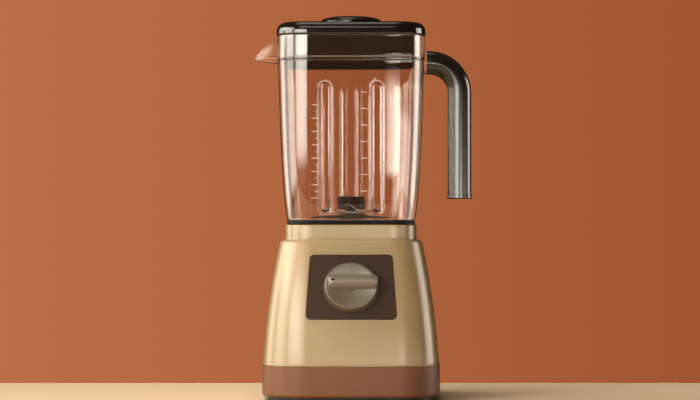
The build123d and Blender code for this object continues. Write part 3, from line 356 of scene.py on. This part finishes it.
def jar_skin():
    """The jar's wall as one closed surface: a rounded-square ring for each row of the profile, made of
    four sides and four quarter-circle corners. The flutes are pressed inwards through front and rear,
    and a narrow pair through the rear only."""
    z, half, corner, outer = (column[:, None] for column in jar_profile().T)
    straight = half - corner
    margin = fluted_half + np.linspace(0, 1, 8)[1:] * (straight - fluted_half)
    fluted = np.linspace(-fluted_half, fluted_half, 123) + np.zeros_like(z)
    wide_side = np.hstack([-margin[:, ::-1], fluted, margin])
    plain_side = np.linspace(-1, 1, 11)[1:-1] * straight
    depth = np.where(outer, 0.0024, 0.0021)
    grow = np.where(outer, 0.0, 0.0016)
    edge = np.where(outer, 0.0034, 0.0042)
    plan = []
    for quarter in range(4):
        turned = quarter * math.pi / 2
        c, s = math.cos(turned), math.sin(turned)
        across = plain_side if quarter % 2 else wide_side
        out = -half + np.zeros_like(across)
        if quarter in (0, 2):
            out = out + depth * flute_share(across, z, flute_centre, flute_width, grow, edge)
        if quarter == 2:
            out = out + depth * flute_share(across, z, rear_rib_centre, rear_rib_width, grow, edge)
        plan.append(np.stack([across * c - out * s, across * s + out * c], -1))
        bend = np.linspace(-math.pi / 2, 0, 16)[1:-1] + turned
        plan.append(np.stack([straight * c + straight * s + corner * np.cos(bend),
                              straight * s - straight * c + corner * np.sin(bend)], -1))
    plan = np.concatenate(plan, 1)
    rows, columns = plan.shape[:2]
    level = np.broadcast_to(z[..., None], (rows, columns, 1))
    return np.concatenate([plan, level], -1).reshape(-1, 3), grid_faces(rows, columns, wrap_rows=True)


spout_root, spout_tip = -0.071, -0.1013
spout_side, spout_corner, spout_wall = 0.011, 0.004, 0.0025
spout_floor, spout_top = 0.3562, 0.3742
spout_under, spout_rise = 0.3506, 0.0033
boss_z = 0.352


def spout_half(x, inset):
    """Half width of the beak in plan: straight sides, then a quarter circle into the blunt tip, whose
    radius is less by the inset."""
    past = np.maximum(spout_tip + spout_corner - x, 0)
    return spout_side - spout_corner + np.sqrt(np.maximum((spout_corner - inset) ** 2 - past ** 2, 1e-8))


def across_spout(x, half, low, high, corner):
    """Rounded rectangles that stand across X, one for each stop, with corners no larger than fit."""
    x, half, low, high = np.broadcast_arrays(x, half, low, high)
    corner = np.minimum(np.minimum(corner, half * 0.9), (high - low) * 0.45)
    ring = rounded_rectangles(half, (high - low) / 2, corner, 7)
    middle = (low + high)[:, None] / 2
    return np.stack(np.broadcast_arrays(x[:, None], ring[..., 0], middle + ring[..., 1]), -1)


def beak_skin():
    """The spout as a solid: its top edge falls with the power 2.8 of the way to the tip, its underside
    rises evenly, and its stops crowd towards the tip."""
    way = 1 - np.linspace(1, 0, 40) ** 1.7
    x = spout_root + (spout_tip + 0.0002 - spout_root) * way
    top = spout_top - (spout_top - spout_floor) * way ** 2.8
    return tube(across_spout(x, spout_half(x, 0), spout_under + spout_rise * way, top, 0.0012))


def channel_skin():
    """The hollow of the beak: a rounded rectangle in section, open upwards, from the jar's wall to just
    short of the tip."""
    x = np.linspace(-0.07632, spout_tip + 0.0026, 28)
    return tube(across_spout(x, spout_half(x, spout_wall), spout_floor, 0.3765, 0.0015))


def window_skin():
    """The opening from the jar into the beak: one rounded rectangle carried through the wall."""
    x = np.array([spout_root, -0.0795])
    return tube(across_spout(x, spout_side - spout_wall, spout_floor, 0.3717, 0.003))


def boss_skin():
    """The clear boss that carries the handle, turned about X: a short bar with rounded edges, then its
    stub, as (x, radius)."""
    x, radius = np.array([(0.0745, 0.0123), (0.0792, 0.0124), (0.07998, 0.01216), (0.08036, 0.0117),
                          (0.0804, 0.0112), (0.0804, 0.0085), (0.0804, 0.008), (0.0890, 0.008),
                          (0.0894, 0.0077)]).T[:, :, None]
    turn = np.linspace(0, 2 * math.pi, 65)[:-1]
    return tube(np.stack(np.broadcast_arrays(x, radius * np.cos(turn), boss_z + radius * np.sin(turn)), -1))


jar = closed_shape("clear_jar", jar_skin())
work_with(jar, [(closed_shape("beak", beak_skin()), "UNION"), (closed_shape("boss", boss_skin()), "UNION"),
                (closed_shape("channel", channel_skin()), "DIFFERENCE"),
                (closed_shape("window", window_skin()), "DIFFERENCE")])
finish(jar, finishes["clear_plastic"], 62)
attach(jar, "jar")
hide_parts("jar_body")


# ---- Printed scale ------------------------------------------------------------------
box_faces = np.array([(0, 2, 3, 1), (4, 5, 7, 6), (0, 1, 5, 4), (2, 6, 7, 3), (1, 3, 7, 5), (0, 4, 6, 2)])
long_mark, short_mark = 0.7 * MM, 0.5 * MM
left_low, left_step = 0.2086, 0.01366
right_low, right_step = 0.2158, 0.0169


def marks(left, right, low, step, count, thick):
    """Printed marks one above the other at an even step, as the eight corners of each: they follow the
    front wall's lean, from 0.02 mm within it to 0.05 mm off it."""
    corner = np.arange(8)
    x = np.where(corner % 2, right, left)
    level = (low + step * np.arange(count))[:, None] + np.where(corner // 2 % 2, 0.5, -0.5) * thick
    lift = np.where(corner // 4, 0.05, -0.02) * MM
    return np.stack(np.broadcast_arrays(x, -jar_half(level) - lift, level), -1)


ink = np.vstack([marks(-0.0402, -0.0337, left_low, left_step, 8, long_mark),
                 marks(-0.0372, -0.0337, left_low + left_step / 2, left_step, 7, short_mark),
                 marks(0.0103, 0.0164, right_low, right_step, 7, long_mark)])
ink_faces = (8 * np.arange(len(ink))[:, None, None] + box_faces).reshape(-1, 4).tolist()
printed_scale = closed_shape("printed_scale", (ink.reshape(-1, 3), ink_faces))
printed_scale.data.materials.append(finishes["scale_print"])
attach(printed_scale, "jar")


# ---- Knob ---------------------------------------------------------------------------
knob_axis = np.array([0.0, -0.082244, 0.1172])
knob_lean = math.radians(9.0504)


def on_panel(across, up, out):
    """Points given across, up and out of the sloping panel, about the knob's axis, in metres."""
    along = np.array([0, math.sin(knob_lean), math.cos(knob_lean)])
    away = np.array([0, -math.cos(knob_lean), math.sin(knob_lean)])
    return knob_axis + across[..., None] * [1, 0, 0] + up[..., None] * along + out[..., None] * away


# All in millimetres
disc_long, disc_wide, disc_base, disc_top = 28.4, 25.5, 1.5, 11.9
disc_round, lip_drop, dish_depth = 1.3, 0.5, 2.6
shaft_radius, pocket_radius, pocket_roof = 3.05, 11.0, 4.3
grip_long, grip_wide, grip_base, grip_shoulder, grip_top = 26.0, 7.75, 5.5, 16.4, 18.95
grip_round, grip_corner, crest_height, crest_up = 2.0, 3.4, 13.45, 3.0
grip_right, grip_up = 1.8, 4.4


def knob_disc_skin():
    """The knob's disc: an ellipse carried over a profile of (half length, half width, height), up a side
    that leans 12 degrees, over a quarter-round rim and a small lip into a dish whose depth is 1 less
    the square of the way out, and back through the shaft hole and the pocket underneath."""
    lean = math.tan(math.radians(12))
    wall = np.linspace(disc_base + 0.5, disc_top - disc_round - 0.1, 7)
    rim = np.radians(np.linspace(0, 90, 9))
    fall = np.linspace(0.2, 1, 5)
    shoulder = lean * (wall[-1] - disc_base)
    inset = np.concatenate([lean * (wall - disc_base), shoulder + disc_round * (1 - np.cos(rim)),
                            shoulder + disc_round + fall])
    height = np.concatenate([wall, disc_top - disc_round * (1 - np.sin(rim)),
                             disc_top - lip_drop * smooth_step(fall)])
    skirt = np.column_stack([disc_long - inset, disc_wide - inset, height])
    part = np.linspace(0.95, 0.2, 12)
    dish = np.column_stack([skirt[-1, 0] * part, skirt[-1, 1] * part,
                            disc_top - lip_drop - dish_depth * (1 - part ** 2)])
    hole = [(r, r, h) for r, h in ((shaft_radius, 8.6), (shaft_radius, pocket_roof),
                                   (pocket_radius - 0.1, pocket_roof), (pocket_radius, pocket_roof - 0.1),
                                   (pocket_radius, disc_base))]
    foot = [(disc_long - cut, disc_wide - cut, disc_base + rise)
            for cut, rise in ((0.4, 0), (0.1, 0.1), (0, 0.3))]
    long, wide, out = np.vstack([skirt, dish, hole, foot]).T[:, :, None] * MM
    turn = np.linspace(0, 2 * math.pi, 145)[:-1]
    points = on_panel(long * np.cos(turn), wide * np.sin(turn), np.repeat(out, len(turn), 1))
    return points.reshape(-1, 3), grid_faces(*points.shape[:2], wrap_rows=True)


def knob_grip_skin():
    """The knob's grip: a rounded rectangle that narrows by 5 degrees as it rises. Its rings shrink over a
    rounded shoulder to the middle line, and all heights are scaled by a crest that runs along the grip
    above its middle and falls with the square of the distance, faster upwards than downwards."""
    lean = math.tan(math.radians(5))
    wall = np.linspace(grip_base, grip_shoulder, 6)
    bend = np.radians(np.linspace(0, 78, 9))[1:]
    way = np.linspace(0, 1, 11)[1:]
    inset = np.concatenate([lean * (wall - grip_base),
                            lean * (grip_shoulder - grip_base) + grip_round * (1 - np.cos(bend))])
    height = np.concatenate([wall, grip_shoulder + grip_round * np.sin(bend)])
    inset, height = (np.concatenate([inset, inset[-1] + (grip_wide - 0.05 - inset[-1]) * way]),
                     np.concatenate([height, height[-1] + (grip_top - height[-1]) * (1 - (1 - way) ** 2)]))
    corner = np.minimum(np.maximum(grip_corner - 0.3 * inset, 0.04), (grip_wide - inset) * 0.98)
    plan = rounded_rectangles(grip_long - inset, grip_wide - inset, corner, 8)
    past = plan[..., 1] - crest_up
    crest = crest_height - np.where(past > 0, 0.13, 0.018) * past ** 2
    out = grip_base + (height[:, None] - grip_base) * crest / crest_height
    return tube(on_panel((plan[..., 0] + grip_right) * MM, (plan[..., 1] + grip_up) * MM, out * MM))


knob_shape = closed_shape("control_knob", knob_disc_skin())
work_with(knob_shape, [(closed_shape("grip", knob_grip_skin()), "UNION")])
finish(knob_shape, finishes["champagne_metal"], 35)
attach(knob_shape, "knob")
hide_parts("knob")


# ---- Worktop and camera -------------------------------------------------------------
# Matt paint: a pale sand that takes soft shadows and is only faintly clouded
worktop_paint, tree, out, place = new_material("painted_worktop")
cloud = add(tree, "ShaderNodeTexNoise", {"Vector": place, "Scale": 1 / (90 * MM), "Detail": 5.0})
tone = add(tree, "ShaderNodeMix", {0: cloud.outputs["Fac"], 6: colour("#ecd4b0"), 7: colour("#e7cda8")},
           data_type="RGBA")
paint = add(tree, "ShaderNodeBsdfPrincipled", {"Base Color": tone.outputs[2], "Roughness": 0.55})
tree.links.new(paint.outputs[0], out.inputs["Surface"])

half_wide, front, back, deep = 1.1, -1.1, 0.22, 0.04
corners = [(x, y, z) for z in (-deep, 0.0) for y in (front, back) for x in (-half_wide, half_wide)]
worktop_mesh = bpy.data.meshes.new("worktop")
worktop_mesh.from_pydata(corners, [], box_faces.tolist())
worktop_mesh.materials.append(worktop_paint)
worktop = bpy.data.objects.new("worktop", worktop_mesh)
bpy.context.scene.collection.objects.link(worktop)

camera_away, camera_high, camera_left = 2.616, 0.184, 0.0011
camera_data = bpy.data.cameras.new("camera")
camera_data.lens = 127.5
camera_data.sensor_width = 36
camera_data.clip_end = 50
camera = bpy.data.objects.new("camera", camera_data)
camera.location = (-camera_left, -camera_away, camera_high)
camera.rotation_euler = (math.radians(90.508), 0, 0)
bpy.context.scene.collection.objects.link(camera)
bpy.context.scene.camera = camera


# ---- Light --------------------------------------------------------------------------
def turned_to(place, aim):
    """Rotation that points the local -Z axis from a place to an aim point."""
    away = np.array(aim, float) - np.array(place, float)
    away /= np.linalg.norm(away)
    return (math.acos(-away[2]), 0, math.atan2(away[1], away[0]) - math.pi / 2)


def soft_light(name, place, aim, wide, high, radiance, tint, fade=None):
    """A rectangular soft light. An even one lights matt surfaces. One with a fade is for reflections:
    its glow rises smoothly from its edges over the two shares of its width and height."""
    data = bpy.data.lights.new(name, "AREA")
    data.shape = "RECTANGLE"
    data.size, data.size_y = wide, high
    data.energy = radiance * math.pi * wide * high
    data.color = colour(tint)[:3]
    if fade:
        data.use_nodes = True
        tree = data.node_tree
        tree.nodes.clear()
        across = add(tree, "ShaderNodeNewGeometry").outputs["Parametric"]
        split = add(tree, "ShaderNodeSeparateXYZ", {0: across})
        # Nothing sees the lamp straight through clear walls, only its reflections
        ray = add(tree, "ShaderNodeLightPath")
        through = add(tree, "ShaderNodeMath", {0: ray.outputs["Transmission Depth"], 1: 0.5},
                      operation="GREATER_THAN")
        direct = add(tree, "ShaderNodeMath", {0: ray.outputs["Glossy Depth"], 1: 0.5},
                     operation="LESS_THAN")
        bare = add(tree, "ShaderNodeMath", {0: through.outputs[0], 1: direct.outputs[0]},
                   operation="MULTIPLY")
        level = add(tree, "ShaderNodeMath", {0: 1.0, 1: bare.outputs[0]}, operation="SUBTRACT").outputs[0]
        for axis, share in zip("XY", fade):
            away = add(tree, "ShaderNodeMath", {0: split.outputs[axis], 1: 0.5}, operation="SUBTRACT")
            away = add(tree, "ShaderNodeMath", {0: away.outputs[0]}, operation="ABSOLUTE")
            rise = add(tree, "ShaderNodeMapRange", {0: away.outputs[0], 1: 0.5, 2: 0.5 - share,
                                                    3: 0.0, 4: 1.0}, interpolation_type="SMOOTHSTEP")
            dimmed = add(tree, "ShaderNodeMath", {0: rise.outputs[0], 1: level}, operation="MULTIPLY")
            level = dimmed.outputs[0]
        glow = add(tree, "ShaderNodeEmission", {"Strength": level})
        add(tree, "ShaderNodeOutputLight", {"Surface": glow.outputs[0]})
    lamp = bpy.data.objects.new(name, data)
    lamp.location = place
    lamp.rotation_euler = turned_to(place, aim)
    lamp.visible_camera = False
    lamp.visible_diffuse = not fade
    lamp.visible_glossy = bool(fade)
    lamp.visible_transmission = bool(fade)
    bpy.context.scene.collection.objects.link(lamp)


# Matt surfaces are lit from the left and from above
soft_light("key", (-0.44, -0.52, 0.36), (-0.02, -0.05, 0.16), 0.24, 0.26, 13.0, "#fff2e4")
soft_light("overhead", (-0.4, -0.05, 1.6), (0, 0, 0.1), 1.0, 1.0, 7.5, "#fff4e6")
# Windows at the left draw the broad highlights down the jar and the body
soft_light("front_left", (-0.62, -1.2, 0.42), (-0.1, 0, 0.42), 1.05, 0.9, 2.4, "#fff4e8", (0.4, 0.4))
soft_light("window_left", (-0.9, -1.8, 0.42), (0.1, -0.4, 0.42), 1.72, 0.84, 7.5, "#f8f6ec", (0.06, 0.2))
soft_light("window_side", (-1.75, -0.55, 0.35), (0, -0.5, 0.35), 1.3, 0.9, 6.0, "#f8f6ec", (0.15, 0.15))
soft_light("window_left_high", (-1.5, -0.3, 0.85), (0, -0.1, 0.55), 1.9, 0.8, 7.0, "#fff6e6", (0.2, 0.2))
# A low window and a strip at the right edge the body, the jar and the handle
soft_light("window_right", (2.45, -2.45, -0.27), (0, 0, -0.27), 4.0, 1.1, 4.0, "#fff6ea", (0.1, 0.1))
soft_light("strip_right", (0.53, -2.55, 0.13), (0.1, 0, 0.13), 0.94, 0.46, 9.0, "#fff3e4", (0.02, 0.2))
# Weak light from above shows in the lid and the shoulders, and two at the rear edge the sides
soft_light("high_front", (-0.35, -1.3, 1.35), (0, 0, 0.15), 1.2, 0.7, 2.2, "#fff6ea", (0.3, 0.3))
soft_light("sky", (-0.2, 0.1, 1.8), (0, 0, 0.15), 1.4, 1.0, 1.5, "#fff6ea", (0.3, 0.3))
soft_light("rim_left", (-1.5, 0.62, 0.45), (0, 0, 0.3), 0.95, 1.2, 4.0, "#fff6ea", (0.15, 0.15))
soft_light("rim_right", (1.6, 0.3, 0.45), (0, 0, 0.3), 0.95, 1.2, 5.5, "#fff6ea", (0.15, 0.15))

world = bpy.data.worlds.new("terracotta_backdrop")
bpy.context.scene.world = world
world.use_nodes = True
tree = world.node_tree
tree.nodes.clear()
ray = add(tree, "ShaderNodeLightPath")
mirrored = add(tree, "ShaderNodeMath", {0: ray.outputs["Glossy Depth"], 1: 1.0}, operation="MINIMUM")
scattered = add(tree, "ShaderNodeMath", {0: ray.outputs["Diffuse Depth"], 1: 1.0}, operation="MINIMUM")
entered = add(tree, "ShaderNodeMath", {0: ray.outputs["Transmission Depth"], 1: 0.5},
              operation="GREATER_THAN")
crossed = add(tree, "ShaderNodeMath", {0: ray.outputs["Transmission Depth"], 1: 3.5},
              operation="LESS_THAN")
inside = add(tree, "ShaderNodeMath", {0: entered.outputs[0], 1: crossed.outputs[0]},
             operation="MULTIPLY")
# Reflections see a dark room, but those inside the clear wall see a painted warm peach glow: a painted
# reflection that tints the jar's edges
around = add(tree, "ShaderNodeMix", {0: inside.outputs[0], 6: colour("#33281f"), 7: colour("#c98d69")},
             data_type="RGBA")
# The terracotta wall gets painted shade, darker from left to right
view = add(tree, "ShaderNodeSeparateXYZ", {0: add(tree, "ShaderNodeTexCoord").outputs["Generated"]})
lean = add(tree, "ShaderNodeMapRange", {0: view.outputs["X"], 1: -0.14, 2: 0.14, 3: 0.0, 4: 1.0})
wall = add(tree, "ShaderNodeMix", {0: lean.outputs[0], 6: colour("#bb6f48"), 7: colour("#9f5630")},
           data_type="RGBA")
seen = add(tree, "ShaderNodeMix", {0: mirrored.outputs[0], 6: wall.outputs[2], 7: around.outputs[2]},
           data_type="RGBA")
# Matt surfaces get a dim brown fill
tint = add(tree, "ShaderNodeMix", {0: scattered.outputs[0], 6: seen.outputs[2], 7: colour("#4a3d31")},
           data_type="RGBA")
glow = add(tree, "ShaderNodeBackground", {"Color": tint.outputs[2], "Strength": 1.0})
add(tree, "ShaderNodeOutputWorld", {"Surface": glow.outputs[0]})
bpy.context.scene.view_settings.view_transform = "Standard"
